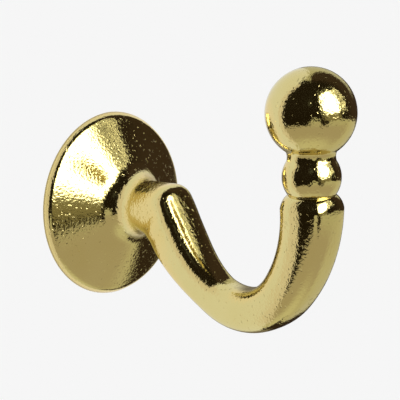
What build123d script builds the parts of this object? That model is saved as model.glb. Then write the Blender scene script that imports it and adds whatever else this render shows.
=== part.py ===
"""Curtain tieback hook: one zinc-alloy casting, with a round wall rose, a swept arm and a ball tip.

The origin is the centre of the rose's wall face. The wall is the plane y = 0, the hook stands
out from it towards -Y, and +Z is up. The two die halves meet in the plane x = 0. Each half of the
rose is round about a line just past that plane, which leaves a ridge down its face and a slight
point at the top and the bottom of its rim.
"""
from build123d import *
from math import cos, pi, radians, sin, sqrt, tan
import os

os.makedirs("parts", exist_ok=True)

# Rose
rose_diameter = 35.0
rose_edge_width = 1.2
rose_edge_inset = 0.6
rose_edge_round = 0.9
face_slope = 23.0
rose_die_offset = 0.25

# Back of the rose: a cored ring round a boss, which has a blind hole for an M4 thread
seat_width = 3.0
wall_thickness = 1.6
boss_diameter = 11.5
boss_set_back = 0.3
core_draft = 4.0
core_corner = 0.5
tap_drill_diameter = 3.3
tap_drill_depth = 10.0
drill_point_angle = 118.0
hole_chamfer = 0.4

# Arm: a section between a circle and a square, which follows a flared neck, an elbow and three arcs.
# Its sizes are half widths, and an exponent sets its shape: 2 gives a circle, and more a squarer one.
neck_half_width = 4.9
neck_height = 0.4
neck_flare_radius = 5.0
neck_flare_angle = 56.0
neck_flare_root = 3.5
circle_exponent = 2.0
arm_exponent = 3.0
elbow_angle = 60.0
elbow_inner_radius = 3.25
elbow_outer_radius = 3.3
elbow_half_width = 4.6
descent_radius = 27.7
descent_angle = 28.2
throat_radius = 12.8
throat_angle = 83.0
rise_radius = 24.0
waist_half_width = 3.6
waist_place = 0.3
tip_half_width = 4.77

# Tip: a shoulder that turns the arm's section round, then a bead and a ball, all on the upright
# line in which the arm ends
shoulder_height = 2.15
shoulder_land = 0.12
groove_radius = 3.9
tip_root = 1.0
tip_root_radius = 3.0
bead_radius = 4.9
ball_neck_length = 1.1
ball_radius = 7.5

# Sections in each stretch of the arm
flare_steps = 3
elbow_steps = 5
descent_steps = 4
throat_steps = 6
rise_steps = 4
shoulder_steps = 4
section_points = 16

outward = Vector(0, -1, 0)
hook_plane = Plane(origin=(0, 0, 0), x_dir=outward, z_dir=(-1, 0, 0))
rose_plane = Plane(origin=(-rose_die_offset, 0, 0), x_dir=(0, 0, 1), z_dir=(1, 0, 0))
bore_plane = Plane(origin=(0, 0, 0), x_dir=(0, 0, 1), z_dir=(1, 0, 0))

# The rose's face, as a cone from the rim's front edge to a point on the axis
rose_radius = rose_diameter / 2
front_radius = rose_radius - rose_edge_inset
slope = tan(radians(face_slope))
face_apex = rose_edge_width + front_radius * slope

# The ring-shaped core, whose roof runs parallel to the face
boss_radius = boss_diameter / 2
seat_radius = rose_radius - seat_width
roof_apex = face_apex - wall_thickness / cos(radians(face_slope))
roof_middle = roof_apex - boss_radius * slope
roof_edge = roof_apex - seat_radius * slope
boss_root_radius = boss_radius + roof_middle * tan(radians(core_draft))

# The neck's flare, an arc that would meet the face below the neck at the face's own slope
flare_foot_radius = neck_half_width + neck_flare_radius * (1 - sin(radians(face_slope)))
flare_meeting = face_apex - (flare_foot_radius - neck_height) * slope
flare_start = flare_meeting + neck_flare_radius * cos(radians(face_slope))

# The elbow turns about a pivot below the neck. Its inside is an arc about the pivot, and its
# outside is two straight lines that a tighter arc joins at the shoulder.
elbow_span = elbow_inner_radius + 2 * neck_half_width
half_elbow = radians(elbow_angle / 2)
shoulder_distance = (elbow_span - elbow_outer_radius) / cos(half_elbow)
pivot_height = neck_height - neck_half_width - elbow_inner_radius
pivot = hook_plane.from_local_coords((flare_start, pivot_height))

# The tip's heights above the arm's end. Its root goes down into the arm.
bead_half_height = sqrt(bead_radius**2 - groove_radius**2)
bead_top = shoulder_height + 2 * bead_half_height
ball_foot = bead_top + ball_neck_length
ball_height = ball_foot + sqrt(ball_radius**2 - groove_radius**2)


def heading(angle):
    """The direction in the hook's plane at an angle above the outward line."""
    return Vector(0, -cos(radians(angle)), sin(radians(angle)))


def elbow_section(angle):
    """The centre and the half width of the elbow's section after it has turned by an angle."""
    off_middle = radians(angle) - half_elbow
    off_line = half_elbow - abs(off_middle)
    outer = elbow_span / cos(off_line)
    if outer * sin(off_line) > shoulder_distance * sin(half_elbow):
        across = shoulder_distance * sin(off_middle)
        outer = shoulder_distance * cos(off_middle) + sqrt(elbow_outer_radius**2 - across**2)
    half_depth = (outer - elbow_inner_radius) / 2
    slimmed = 1 + (elbow_half_width / neck_half_width - 1) * angle / elbow_angle
    return pivot + heading(90 - angle) * (elbow_inner_radius + half_depth), half_depth * slimmed


def section_outline(half_width, exponent):
    """The points of a section that lies between a circle and a square."""
    points = []
    for step in range(section_points):
        x = cos(2 * pi * step / section_points)
        y = sin(2 * pi * step / section_points)
        reach = half_width * (abs(x) ** exponent + abs(y) ** exponent) ** (-1 / exponent)
        points.append((x * reach, y * reach))
    return points


def arm_half_width(share):
    """The arm's half width at a share of its length from the elbow to the tip."""
    if share < waist_place:
        fall = share / waist_place
        eased = fall * fall * (3 - 2 * fall)
        return elbow_half_width + (waist_half_width - elbow_half_width) * eased
    growth = (share - waist_place) / (1 - waist_place)
    return waist_half_width + (tip_half_width - waist_half_width) * growth



# The arm's centre line past the elbow, which ends upright
rise_angle = 90 + elbow_angle - descent_angle - throat_angle
with BuildLine(hook_plane) as arm_line:
    elbow_end = elbow_section(elbow_angle)[0]
    descent = JernArc(elbow_end, heading(-elbow_angle), descent_radius, descent_angle)
    throat = JernArc(descent @ 1, descent % 1, throat_radius, throat_angle)
    rise = JernArc(throat @ 1, throat % 1, rise_radius, rise_angle)
arm_end = rise @ 1
arm_length = descent.length + throat.length + rise.length

# The sections, each as its centre, its angle above the outward line, its half width and its
# exponent. The flare's first lies inside the rose, and its last is the elbow's first.
foot_reach = flare_start - neck_flare_radius * sin(radians(neck_flare_angle))
foot_radius = neck_half_width + neck_flare_radius * (1 - cos(radians(neck_flare_angle)))
root_reach = foot_reach - neck_flare_root * cos(radians(neck_flare_angle))
root_radius = foot_radius + neck_flare_root * sin(radians(neck_flare_angle))
root_centre = hook_plane.from_local_coords((root_reach, neck_height))
flare_sections = [(root_centre, 0, root_radius, circle_exponent)]
for step in range(flare_steps):
    turned = radians(neck_flare_angle) * (1 - step / flare_steps)
    centre = hook_plane.from_local_coords((flare_start - neck_flare_radius * sin(turned), neck_height))
    half_width = neck_half_width + neck_flare_radius * (1 - cos(turned))
    exponent = circle_exponent + (arm_exponent - circle_exponent) * step / flare_steps
    flare_sections.append((centre, 0, half_width, exponent))
arm_sections = []
for step in range(elbow_steps):
    turned = elbow_angle * step / elbow_steps
    centre, half_width = elbow_section(turned)
    arm_sections.append((centre, -turned, half_width, arm_exponent))
flare_sections.append(arm_sections[0])
travelled = 0
turned = -elbow_angle
for arc, angle, steps in (
    (descent, descent_angle, descent_steps),
    (throat, throat_angle, throat_steps),
    (rise, rise_angle, rise_steps),
):
    for step in range(steps):
        share = step / steps
        half_width = arm_half_width((travelled + arc.length * share) / arm_length)
        arm_sections.append((arc @ share, turned + angle * share, half_width, arm_exponent))
    travelled += arc.length
    turned += angle
arm_sections.append((arm_end, turned, tip_half_width, arm_exponent))

# The shoulder's sections, whose sides follow a quarter of an ellipse
shoulder_sections = []
shoulder_inset = tip_half_width - groove_radius - shoulder_land
for step in range(shoulder_steps + 1):
    rounding = radians(90) * step / shoulder_steps
    centre = arm_end + Vector(0, 0, shoulder_height * sin(rounding))
    half_width = tip_half_width - shoulder_inset * (1 - cos(rounding))
    exponent = arm_exponent + (circle_exponent - arm_exponent) * step / shoulder_steps
    shoulder_sections.append((centre, turned, half_width, exponent))

with BuildPart() as tieback_hook:
    # Rose: one half's face and rim, and the core cut from its back, mirrored at x = 0
    rose_axis = Axis(rose_plane.origin, outward)
    with BuildSketch(rose_plane):
        with BuildLine():
            Polyline(
                (0, 0),
                (rose_radius, 0),
                (front_radius, rose_edge_width),
                (0, face_apex),
                close=True,
            )
        rim = make_face()
        fillet(rim.vertices().sort_by(Axis.X)[-2], rose_edge_round)
    revolve(axis=rose_axis)
    with BuildSketch(rose_plane):
        with BuildLine():
            Polyline(
                (boss_radius, 0),
                (boss_root_radius, roof_middle),
                (seat_radius, roof_edge),
                (seat_radius, 0),
                close=True,
            )
        core = make_face()
        chamfer(core.vertices().sort_by(Axis.Y)[-2:], core_corner)
        with Locations((boss_radius / 2, boss_set_back / 2)):
            Rectangle(boss_radius, boss_set_back)
    revolve(axis=rose_axis, mode=Mode.SUBTRACT)
    split(bisect_by=Plane.YZ, keep=Keep.TOP)
    mirror(about=Plane.YZ)

    # Neck's flare, arm and shoulder
    for stretch in (flare_sections, arm_sections, shoulder_sections):
        for centre, angle, half_width, exponent in stretch:
            with BuildSketch(Plane(origin=centre, x_dir=(1, 0, 0), z_dir=heading(angle))):
                with BuildLine():
                    Spline(section_outline(half_width, exponent), periodic=True)
                make_face()
        loft()

    # Bead, ball's neck and ball, with a root that goes down into the arm
    tip_plane = Plane(origin=arm_end, x_dir=outward, z_dir=(-1, 0, 0))
    with BuildSketch(tip_plane):
        with BuildLine():
            Polyline(
                (0, ball_height + ball_radius),
                (0, -tip_root),
                (tip_root_radius, -tip_root),
                (tip_root_radius, shoulder_height),
                (groove_radius, shoulder_height),
            )
            ThreePointArc(
                (groove_radius, shoulder_height),
                (bead_radius, shoulder_height + bead_half_height),
                (groove_radius, bead_top),
            )
            Line((groove_radius, bead_top), (groove_radius, ball_foot))
            ThreePointArc(
                (groove_radius, ball_foot),
                (ball_radius, ball_height),
                (0, ball_height + ball_radius),
            )
        make_face()
    revolve(axis=Axis(tip_plane.origin, (0, 0, 1)))

    # The tapped hole, with its thread left off
    bore_radius = tap_drill_diameter / 2
    bore_end = boss_set_back + tap_drill_depth
    with BuildSketch(bore_plane):
        with BuildLine():
            Polyline(
                (0, 0),
                (bore_radius + hole_chamfer + boss_set_back, 0),
                (bore_radius, boss_set_back + hole_chamfer),
                (bore_radius, bore_end),
                (0, bore_end + bore_radius / tan(radians(drill_point_angle / 2))),
                close=True,
            )
        make_face()
    revolve(axis=Axis(bore_plane.origin, outward), mode=Mode.SUBTRACT)

tieback_hook.part.label = "tieback_hook"
export_step(tieback_hook.part, "parts/tieback_hook.step")
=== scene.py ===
import bmesh
import bpy
from math import atan, ceil, cos, degrees, hypot, pi, radians, sin, sqrt, tan
from mathutils import Matrix, Vector


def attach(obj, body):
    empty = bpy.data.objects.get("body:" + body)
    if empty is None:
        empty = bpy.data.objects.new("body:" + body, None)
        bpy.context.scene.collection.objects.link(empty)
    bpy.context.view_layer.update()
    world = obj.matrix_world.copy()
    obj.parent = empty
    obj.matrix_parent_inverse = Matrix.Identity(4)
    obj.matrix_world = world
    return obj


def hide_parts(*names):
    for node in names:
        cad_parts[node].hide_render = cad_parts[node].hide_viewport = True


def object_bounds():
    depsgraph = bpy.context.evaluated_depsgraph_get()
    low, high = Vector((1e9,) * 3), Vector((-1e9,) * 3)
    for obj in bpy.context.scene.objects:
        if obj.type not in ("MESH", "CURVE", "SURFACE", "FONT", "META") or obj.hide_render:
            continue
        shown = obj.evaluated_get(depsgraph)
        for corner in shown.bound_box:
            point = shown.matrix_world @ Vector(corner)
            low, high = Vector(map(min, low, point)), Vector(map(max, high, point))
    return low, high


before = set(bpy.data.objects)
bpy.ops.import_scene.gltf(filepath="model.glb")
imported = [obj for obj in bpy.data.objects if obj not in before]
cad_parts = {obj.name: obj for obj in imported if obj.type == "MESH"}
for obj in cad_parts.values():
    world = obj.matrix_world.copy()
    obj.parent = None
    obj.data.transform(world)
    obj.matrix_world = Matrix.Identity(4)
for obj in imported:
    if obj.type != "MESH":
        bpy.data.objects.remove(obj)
cad_low, cad_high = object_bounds()


# ---- The cast hook ----
# The hook is one zinc-alloy die casting, brass plated. Its skin is one hose of rings, which starts
# at the bottom of the screw hole, turns round the rose and runs along the arm to the ball's top.
# Sizes are in millimetres, outward from the wall and up, until the skin is scaled to metres.
around = 144
spacing = 0.08
corner_softness = 0.3
# A profile keeps a point where it has turned this far, or gone this far, since the last one.
bend_between = radians(4)
most_between = 0.55
rings = []


def add_ring(out, up, tilt, radius, die_offset=0.0, exponent=2.0, thread=0.0, width=0.0):
    """Notes the skin's next section, which faces a tilt above the outward line."""
    turn = Matrix.Rotation(radians(90 - tilt), 4, "X")
    shape = Matrix.Diagonal((width or radius, radius, radius, 1.0))
    place = Matrix.Translation((0, -out, up)) @ turn @ shape
    rings.append((place, die_offset, exponent, thread))


def run(*corners):
    """Closely spaced points along straight lines from corner to corner."""
    points = [Vector(corners[0])]
    for start, end in zip(corners, corners[1:]):
        steps = ceil(hypot(end[0] - start[0], end[1] - start[1]) / spacing)
        points += [Vector(start).lerp(Vector(end), i / steps) for i in range(1, steps + 1)]
    return points


def arc(middle, radius, start, end):
    """Closely spaced points on an arc, with its angles in degrees."""
    steps = ceil(abs(radians(end - start)) * radius / spacing)
    turns = [radians(start + (end - start) * i / steps) for i in range(steps + 1)]
    return [Vector((middle[0] + radius * cos(t), middle[1] + radius * sin(t))) for t in turns]


def softened(points, softness=corner_softness):
    """A profile with its corners and grooves rounded, and with no more points than it needs."""
    reach = round(softness / spacing)
    soft = []
    for i in range(len(points)):
        near = min(reach, i, len(points) - 1 - i)
        window = points[i - near : i + near + 1]
        soft.append(sum(window, Vector((0, 0))) / len(window))
    kept = soft[:1]
    heading = soft[1] - soft[0]
    for point, after in zip(soft[1:], soft[2:]):
        turned = (after - point).angle(heading, 0)
        if turned > bend_between or (point - kept[-1]).length > most_between:
            kept.append(point)
            heading = after - point
    return kept + soft[-1:]


# The wall side is cored out to an even wall round a boss. The boss is tapped M4 for a hanger screw.
# The halves of the rose lie a little closer than a full circle's would, on a fine seam where the
# die parted.
die_offset = 0.25
seam = 0.05
rose_radius = cad_high.x * 1000 + die_offset - 0.001
edge_lean = 0.6
edge_radius = rose_radius - edge_lean
edge_width = 1.2
edge_softness = 0.55
face_radius = edge_radius - 1.0
face_slope = 23.0
slope = tan(radians(face_slope))
face_apex = edge_width + edge_radius * slope
wall = 1.6
roof_apex = face_apex - wall / cos(radians(face_slope))
boss_radius = 5.75
boss_set_back = 0.3
core_draft = 4.0
roof_middle = roof_apex - boss_radius * slope
seat_width = 3.0
seat_radius = rose_radius - seat_width
roof_edge = roof_apex - seat_radius * slope
drill_point = 118.0
hole_radius = 1.65
hole_chamfer = 0.4
hole_end = 10.3
thread_start = 1.2
thread_pitch = 0.7
thread_depth = 0.3
thread_steps = 7
parting_start = 2.5
drill_tip = hole_end + hole_radius / tan(radians(drill_point / 2))

add_ring(drill_tip, 0.0, 0.0, 0.001)
add_ring(hole_end, 0.0, 0.0, hole_radius)
steps = ceil((hole_end - thread_start) / (thread_pitch / thread_steps))
for i in range(1, steps):
    out = hole_end + (thread_start - hole_end) * i / steps
    depth = min(1.0, (steps - i) / thread_steps) * min(1.0, i / thread_steps)
    add_ring(out, 0.0, 0.0, hole_radius, thread=depth)
add_ring(thread_start, 0.0, 0.0, hole_radius)
back = run(
    (hole_radius, boss_set_back + hole_chamfer),
    (hole_radius + hole_chamfer, boss_set_back),
    (boss_radius, boss_set_back),
    (boss_radius + roof_middle * tan(radians(core_draft)), roof_middle),
    (seat_radius, roof_edge),
    (seat_radius, 0.0),
    (rose_radius, 0.0),
)
edge = run(
    (rose_radius, 0.0),
    (edge_radius, edge_width),
    (face_radius, edge_width + slope),
)
for radius, out in softened(back) + softened(edge, edge_softness)[1:]:
    parted = min(1.0, max(0.0, radius / parting_start - 1))
    add_ring(out, 0.0, 0.0, radius, die_offset * parted)

# The face is a shallow cone that sweeps up into the neck. The neck stands a little above its
# middle, so the sections tip and climb on the way in.
neck_half = 4.88
neck_width = 5.02
neck_up = 0.4
flare_radius = 5.0
flare_steps = 24
flare_edge = neck_half + flare_radius * (1 - sin(radians(face_slope)))
flare_start = face_apex - (flare_edge - neck_up) * slope + flare_radius * cos(radians(face_slope))
for radius, nothing in run((face_radius, 0.0), (flare_edge, 0.0))[4::4]:
    share = (face_radius - radius) / (face_radius - flare_edge)
    climb = neck_up * share**3
    tip = degrees(atan(climb * slope / radius))
    parting = die_offset + (seam - die_offset) * share**4
    add_ring(face_apex - radius * slope, climb, tip, radius, parting)
for i in range(1, flare_steps + 1):
    share = i / flare_steps
    turned = radians((90 - face_slope) * (1 - share))
    radius = neck_half + flare_radius * (1 - cos(turned))
    lift = neck_up * slope * (1 - share) ** 2
    add_ring(
        flare_start - flare_radius * sin(turned) - lift,
        neck_up,
        tip * (1 - share) ** 2,
        radius,
        seam,
        width=radius + (neck_width - neck_half) * share,
    )

# The arm's section is squarish, with a fine seam where the halves of the die met. It turns down
# through a tight elbow, thins to a waist, sweeps round the throat and thickens towards the tip.
elbow_angle = 60.0
elbow_steps = 36
inner_radius = 3.25
corner_radius = 3.3
elbow_half = 4.58
elbow_swell = 0.12
squareness = 3.0
span = inner_radius + 2 * neck_half
half_elbow = radians(elbow_angle / 2)
corner_off = (span - corner_radius) / cos(half_elbow)
pivot = Vector((flare_start, neck_up - neck_half - inner_radius))
for i in range(1, elbow_steps + 1):
    share = i / elbow_steps
    turned = radians(elbow_angle * share)
    off_middle = turned - half_elbow
    off_line = half_elbow - abs(off_middle)
    outer = span / cos(off_line)
    if outer * sin(off_line) > corner_off * sin(half_elbow):
        across = corner_off * sin(off_middle)
        outer = corner_off * cos(off_middle) + sqrt(corner_radius**2 - across**2)
    half_depth = (outer - inner_radius) / 2
    middle = pivot + Vector((sin(turned), cos(turned))) * (inner_radius + half_depth)
    slimmed = half_depth * (1 + (elbow_half / neck_half - 1) * share)
    width = elbow_half + (neck_width - elbow_half) * (1 - share) ** 2
    width += elbow_swell * sin(pi * max(0.0, share * 2 - 1)) ** 2
    squared = 2.0 + (squareness - 2.0) * min(share * 1.8, 1.0)
    add_ring(middle.x, middle.y, -degrees(turned), slimmed, seam, squared, width=width)

# Each bend has a radius, an angle and its number of sections: the descent, the throat, the rise.
bends = [(27.7, 28.2, 44), (12.8, 83.0, 52), (24.0, 38.8, 40)]
whole = sum(radians(angle) * bend for bend, angle, steps in bends)
waist_half = 3.58
waist_place = 0.3
end_half = 4.75
travelled = 0.0
tilt = -elbow_angle
for bend, angle, steps in bends:
    centre = middle + Vector((-sin(radians(tilt)), cos(radians(tilt)))) * bend
    for i in range(1, steps + 1):
        heading = radians(tilt + angle * i / steps)
        middle = centre + Vector((sin(heading), -cos(heading))) * bend
        share = (travelled + radians(angle) * bend * i / steps) / whole
        fall = min(share / waist_place, 1.0)
        half_width = elbow_half + (waist_half - elbow_half) * fall * fall * (3 - 2 * fall)
        if share > waist_place:
            growth = (share - waist_place) / (1 - waist_place)
            half_width = waist_half + (end_half - waist_half) * growth
        add_ring(middle.x, middle.y, degrees(heading), half_width, seam, squareness)
    tilt += angle
    travelled += radians(angle) * bend

# The arm ends in a shoulder that rounds its section off. On it sit a bead and a ball, on one
# upright line.
groove_radius = 3.9
shoulder_height = 2.15
shoulder_steps = 40
bead_radius = 4.9
ball_radius = 7.5
ball_height = cad_high.z * 1000 - ball_radius - middle.y
bead_half = sqrt(bead_radius**2 - groove_radius**2)
bead_turn = degrees(atan(bead_half / groove_radius))
ball_turn = degrees(atan(sqrt(ball_radius**2 - groove_radius**2) / groove_radius))
shoulder = [
    Vector((groove_radius + (end_half - groove_radius) * cos(p), shoulder_height * sin(p)))
    for p in [radians(90 * i / shoulder_steps) for i in range(shoulder_steps + 1)]
]
bead = arc((0.0, shoulder_height + bead_half), bead_radius, -bead_turn, bead_turn)
ball = arc((0.0, ball_height), ball_radius, -ball_turn, 90)
for radius, height in softened(shoulder + bead + ball)[1:]:
    share = min(height / shoulder_height, 1.0)
    squared = squareness + (2.0 - squareness) * share
    add_ring(middle.x, middle.y + height, 90.0, radius, seam * (1 - share), squared)

# A tube with a band of faces for each gap between sections is laid on the sections ring by ring.
# The thread's groove has flat flanks with a narrow crest between its turns.
seam_plane = 0.05
casting = bmesh.new()
length = len(rings) - 1
bmesh.ops.create_cone(
    casting, cap_ends=False, segments=around, radius1=1.0, radius2=1.0, depth=length
)
uprights = [e for e in casting.edges if abs(e.verts[0].co.z - e.verts[1].co.z) > 1]
bmesh.ops.subdivide_edges(casting, edges=uprights, cuts=length - 1, use_grid_fill=True)
for vert in casting.verts:
    place, offset, exponent, thread = rings[round(vert.co.z + length / 2)]
    x, y = vert.co.xy
    reach = (abs(x) ** exponent + abs(y) ** exponent) ** (-1 / exponent)
    if thread:
        turned = Vector((x, y)).angle_signed(Vector((1, 0)), 0) / (2 * pi)
        phase = (turned - place.translation.y / thread_pitch) % 1.0
        groove = min(1.0, max(0.0, 1.35 - 3.2 * abs(phase - 0.5)))
        reach += thread * groove * thread_depth / hole_radius
    vert.co = place @ Vector((x * reach, y * reach, 0.0))
    if abs(vert.co.x) > seam_plane:
        vert.co.x -= offset if vert.co.x > 0 else -offset
bmesh.ops.remove_doubles(casting, verts=casting.verts, dist=0.002)
bmesh.ops.scale(casting, vec=(0.001, 0.001, 0.001), verts=casting.verts)
bmesh.ops.recalc_face_normals(casting, faces=casting.faces)
hook_mesh = bpy.data.meshes.new("cast_hook")
casting.to_mesh(hook_mesh)
hook_mesh.shade_smooth()
hook = bpy.data.objects.new("cast_hook", hook_mesh)
bpy.context.scene.collection.objects.link(hook)
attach(hook, "root")
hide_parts("tieback_hook")


# ---- The brass plate ----
# A bright plate over a polished casting. The casting's fine grain and slight waves show through
# it, with a few pits, and the cored back was never polished.
class Wire:
    """A socket's value. Arithmetic on it adds the nodes that work it out."""

    def __init__(self, tree, socket):
        self.tree = tree
        self.socket = socket

    def node(self, kind, settings, values, output=0):
        """Adds a node with its settings and its input values, and gives one of its outputs."""
        new = self.tree.nodes.new(kind)
        for name, value in settings.items():
            setattr(new, name, value)
        for name, value in values.items():
            if isinstance(value, Wire):
                self.tree.links.new(value.socket, new.inputs[name])
            else:
                new.inputs[name].default_value = value
        return Wire(self.tree, new.outputs[output])

    def math(self, operation, *others):
        """One Math node, with this value first."""
        values = dict(enumerate((self, *others)))
        return self.node("ShaderNodeMath", {"operation": operation}, values)

    def smooth(self, low, high):
        """Eases from 0 at low to 1 at high."""
        values = {"Value": self, "From Min": low, "From Max": high}
        return self.node("ShaderNodeMapRange", {"interpolation_type": "SMOOTHSTEP"}, values)

    def blend(self, first, second):
        """Mixes from a first colour to a second by this value."""
        settings = {"data_type": "RGBA"}
        return self.node("ShaderNodeMix", settings, {0: self, 6: first, 7: second}, 2)

    def __add__(self, other):
        return self.math("ADD", other)

    def __sub__(self, other):
        return self.math("SUBTRACT", other)

    def __mul__(self, other):
        return self.math("MULTIPLY", other)

    def __truediv__(self, other):
        return self.math("DIVIDE", other)

    def __pow__(self, other):
        return self.math("POWER", other)

    def __abs__(self):
        return self.math("ABSOLUTE")

    def __rsub__(self, other):
        return self * -1 + other

    __radd__ = __add__
    __rmul__ = __mul__


def noise(place, size, detail):
    """Noise from 0 to 1 with features of about a size in metres."""
    values = {"Vector": place, "Scale": 1 / size, "Detail": detail}
    return place.node("ShaderNodeTexNoise", {}, values)


brass = bpy.data.materials.new("brass_plate")
brass.use_nodes = True
tree = brass.node_tree
plate = tree.nodes["Principled BSDF"]
place = Wire(tree, tree.nodes.new("ShaderNodeTexCoord").outputs["Object"])
out = place.node("ShaderNodeSeparateXYZ", {}, {0: place}, 1) * -1

grain = noise(place, 0.0005, 2.0)
waves = noise(place, 0.0035, 2.0)
patches = noise(place, 0.006, 3.0)
pits = noise(place, 0.0006, 0.0).smooth(0.71, 0.79)
inside = 1 - out.smooth(0.0002, 0.0012)
height = grain * 0.00004 + waves * 0.00003 - pits * 0.00002
bump = place.node("ShaderNodeBump", {}, {"Strength": 1.0, "Distance": 1.0, "Height": height})
tint = patches.blend((0.80, 0.68, 0.30, 1), (0.75, 0.62, 0.24, 1))
tree.links.new(tint.socket, plate.inputs["Base Color"])
tree.links.new((patches * 0.06 + inside * 0.2 + 0.05).socket, plate.inputs["Roughness"])
tree.links.new(bump.socket, plate.inputs["Normal"])
plate.inputs["Metallic"].default_value = 1.0
hook_mesh.materials.append(brass)


# ---- The room ----
# A plain studio: a pale painted floor well below the hook, and pale walls as the eye sees them.
# What the plate mirrors is dark, with one large soft light in front and a dim floor tone below.
floor_sheet = bmesh.new()
bmesh.ops.create_grid(floor_sheet, x_segments=1, y_segments=1, size=15.0)
bmesh.ops.translate(floor_sheet, vec=(0, 0, -0.25), verts=floor_sheet.verts)
floor_mesh = bpy.data.meshes.new("floor")
floor_sheet.to_mesh(floor_mesh)
floor = bpy.data.objects.new("floor", floor_mesh)
bpy.context.scene.collection.objects.link(floor)
floor.visible_glossy = False
pale = bpy.data.materials.new("pale_floor")
pale.use_nodes = True
paint = pale.node_tree.nodes["Principled BSDF"]
paint.inputs["Base Color"].default_value = (0.95, 0.95, 0.95, 1)
paint.inputs["Roughness"].default_value = 1.0
paint.inputs["Specular IOR Level"].default_value = 0.0
floor_mesh.materials.append(pale)

# A white sheet stands behind the hook, with its left edge folded forward, and a small dark card
# stands low to the rose's right. Only the plate sees them, and they glow with the light that lit
# sheets would give back. Each has its width and length in metres, the axis that it is stood up on,
# and its middle.
sheet = bmesh.new()
stands = [
    ((0.104, 0.32, 1.0), "X", (0.001, 0.001, 0.04)),
    ((0.32, 0.017, 1.0), "Y", (-0.051, -0.0075, 0.04)),
    ((0.14, 0.025, 1.0), "Y", (0.06, -0.0125, -0.082)),
]
for size, axis, centre in stands:
    made = bmesh.ops.create_grid(sheet, x_segments=1, y_segments=1, size=0.5)
    bmesh.ops.scale(sheet, vec=size, verts=made["verts"])
    bmesh.ops.rotate(sheet, matrix=Matrix.Rotation(radians(90), 3, axis), verts=made["verts"])
    bmesh.ops.translate(sheet, vec=centre, verts=made["verts"])
sheet_mesh = bpy.data.meshes.new("sheet")
sheet.to_mesh(sheet_mesh)
backing = bpy.data.objects.new("sheet", sheet_mesh)
bpy.context.scene.collection.objects.link(backing)
backing.visible_camera = False
backing.visible_diffuse = False
backing.visible_shadow = False
glow = bpy.data.materials.new("sheet_glow")
glow.use_nodes = True
tree = glow.node_tree
lamp = tree.nodes["Principled BSDF"]
lamp.inputs["Base Color"].default_value = (0, 0, 0, 1)
lamp.inputs["Specular IOR Level"].default_value = 0.0
lamp.inputs["Emission Strength"].default_value = 1.0
place = Wire(tree, tree.nodes.new("ShaderNodeTexCoord").outputs["Object"])
across = place.node("ShaderNodeSeparateXYZ", {}, {0: place})
up = place.node("ShaderNodeSeparateXYZ", {}, {0: place}, 2)
away = (across * across + up * up) ** 0.5
# Low to the rose's right the sheet is darkened by a painted shade.
shaded_low_right = across.smooth(0.0, 0.03) * (1 - up.smooth(-0.01, 0.02))
shaded_fold_white = (0.78, 0.74, 0.75, 1)
brass_bounce_white = (0.92, 0.87, 0.86, 1)
far_white = (0.83, 0.86, 0.92, 1)
shade = (0.20, 0.18, 0.14, 1)
card_brown = (0.035, 0.024, 0.016, 1)
# Near the rose the sheet is painted warmer, a painted reflection of the brass's light on it.
tone = away.smooth(0.018, 0.04).blend(brass_bounce_white, far_white)
# The folded edge is painted greyer, a painted shade where it turns from the light.
tone = across.smooth(-0.0509, -0.0502).blend(shaded_fold_white, tone)
tone = shaded_low_right.blend(tone, shade)
tone = across.smooth(0.055, 0.058).blend(tone, card_brown)
tree.links.new(tone.socket, lamp.inputs["Emission Color"])
sheet_mesh.materials.append(glow)

# The rest of what the plate mirrors depends on direction alone. Bearings go from straight out of
# the wall towards the hook's right, and climbs go up from level, both in degrees.
studio = bpy.data.worlds.new("studio")
bpy.context.scene.world = studio
studio.use_nodes = True
tree = studio.node_tree
aim = Wire(tree, tree.nodes.new("ShaderNodeTexCoord").outputs["Generated"])
x = aim.node("ShaderNodeSeparateXYZ", {}, {0: aim})
y = aim.node("ShaderNodeSeparateXYZ", {}, {0: aim}, 1)
z = aim.node("ShaderNodeSeparateXYZ", {}, {0: aim}, 2)
bearing = x.math("ARCTAN2", y * -1) * degrees(1)
climb = z.math("ARCSINE") * degrees(1)


def panel(bearing_at, half_bearing, climb_at, half_climb):
    """How far out from a rounded panel's middle a direction lies, which is 1 at its edge."""
    side = abs((bearing - bearing_at) / half_bearing)
    top = abs((climb - climb_at) / half_climb)
    return (side**4 + top**4) ** 0.25


floor_tan = (0.46, 0.42, 0.36, 1)
floor_grey = (0.66, 0.66, 0.55, 1)
floor_far = (0.54, 0.54, 0.43, 1)
floor_right = (0.58, 0.57, 0.46, 1)
black_left = (0.014, 0.010, 0.006, 1)
brown_right = (0.045, 0.030, 0.022, 1)

# The floor is greyer straight below, far off and to the right, and it ends on the right.
below = climb.smooth(-78.0, -45.0).blend(floor_grey, floor_tan)
below = climb.smooth(-30.0, -14.0).blend(below, floor_far)
below = bearing.smooth(48.0, 66.0).blend(below, floor_right)
below = bearing.smooth(104.0, 112.0).blend(below, card_brown)

# Above it the room is dark, with a little light under the soft light.
dim = bearing.smooth(40.0, 75.0).blend(black_left, brown_right)
under = panel(4.0, 24.0, -4.0, 11.0)
dim = ((1 - under.smooth(0.7, 1.2)) * 0.7).blend(dim, (0.34, 0.31, 0.19, 1))

# The floor's far edge is uneven: it has one peak, and it rises on the right.
peak = 1 - abs(bearing + 40.0).smooth(7.0, 17.0)
rise = bearing.smooth(-14.0, 6.0)
horizon = noise(aim, 0.3, 3.0) * 8 + peak * 17 + rise * 13 - 29
room = (climb - horizon).smooth(-1.0, 1.0).blend(below, dim)

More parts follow.
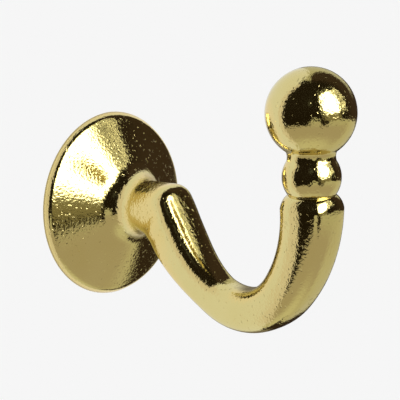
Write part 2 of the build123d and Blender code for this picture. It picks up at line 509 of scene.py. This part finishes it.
# High on the far right a wall is lit. The soft light has a patchy fill and a strip beside it on
# the right, and a faint glint of it shows on the left.
far_wall = (bearing - climb * 0.6 - 86).smooth(-3.0, 3.0) * climb.smooth(4.0, 14.0)
room = far_wall.blend(room, (0.55, 0.55, 0.45, 1))
streaks = noise(aim, 0.06, 4.0).smooth(0.46, 0.56)
glint = panel(-55.0, 10.0, 31.0, 11.0)
room = ((1 - glint.smooth(0.3, 1.0)) * streaks * 0.5).blend(room, (0.20, 0.22, 0.20, 1))
fill = panel(36.0, 11.0, 27.0, 21.0)
room = ((1 - fill.smooth(0.8, 1.1)) * streaks).blend(room, (1.7, 1.7, 1.4, 1))
strip = panel(45.5, 1.3, 27.0, 24.0)
room = (1 - strip.smooth(0.8, 1.2)).blend(room, (1.6, 1.6, 1.4, 1))
key = panel(2.0, 24.5, 27.0, 24.0)
room = (1 - key.smooth(0.97, 1.35)).blend(room, (0.40, 0.41, 0.32, 1))
room = (1 - key.smooth(0.94, 1.04)).blend(room, (4.8, 4.8, 4.7, 1))

# The eye and the floor see pale walls. Only the plate's mirror image sees the rest.
path = tree.nodes.new("ShaderNodeLightPath")
mirrored = Wire(tree, path.outputs["Is Glossy Ray"])
pale_wall = (0.97, 0.97, 0.97, 1)
room = mirrored.blend(pale_wall, room)
tree.links.new(room.socket, tree.nodes["Background"].inputs["Color"])


# ---- The camera ----
# A long lens at the hook's front corner, a little above it, held almost level. Its seat is where
# the middle of the wall face lies as the camera sees it, in metres.
bpy.context.scene.view_settings.view_transform = "Standard"
camera_data = bpy.data.cameras.new("camera")
camera_data.lens = 108.0
camera_data.sensor_width = 36.0
camera_data.clip_start = 0.01
camera_data.clip_end = 100.0
camera = bpy.data.objects.new("camera", camera_data)
bpy.context.scene.collection.objects.link(camera)
bpy.context.scene.camera = camera
view_bearing = -46.4186
view_climb = 10.8211
view_roll = -1.7186
seat = Vector((-0.016634, -0.000531, -0.230048))
turn = Matrix.Rotation(radians(view_bearing), 4, "Z")
turn = turn @ Matrix.Rotation(radians(90 - view_climb), 4, "X")
turn = turn @ Matrix.Rotation(radians(view_roll), 4, "Z")
camera.matrix_world = Matrix.Translation(-(turn.to_3x3() @ seat)) @ turn
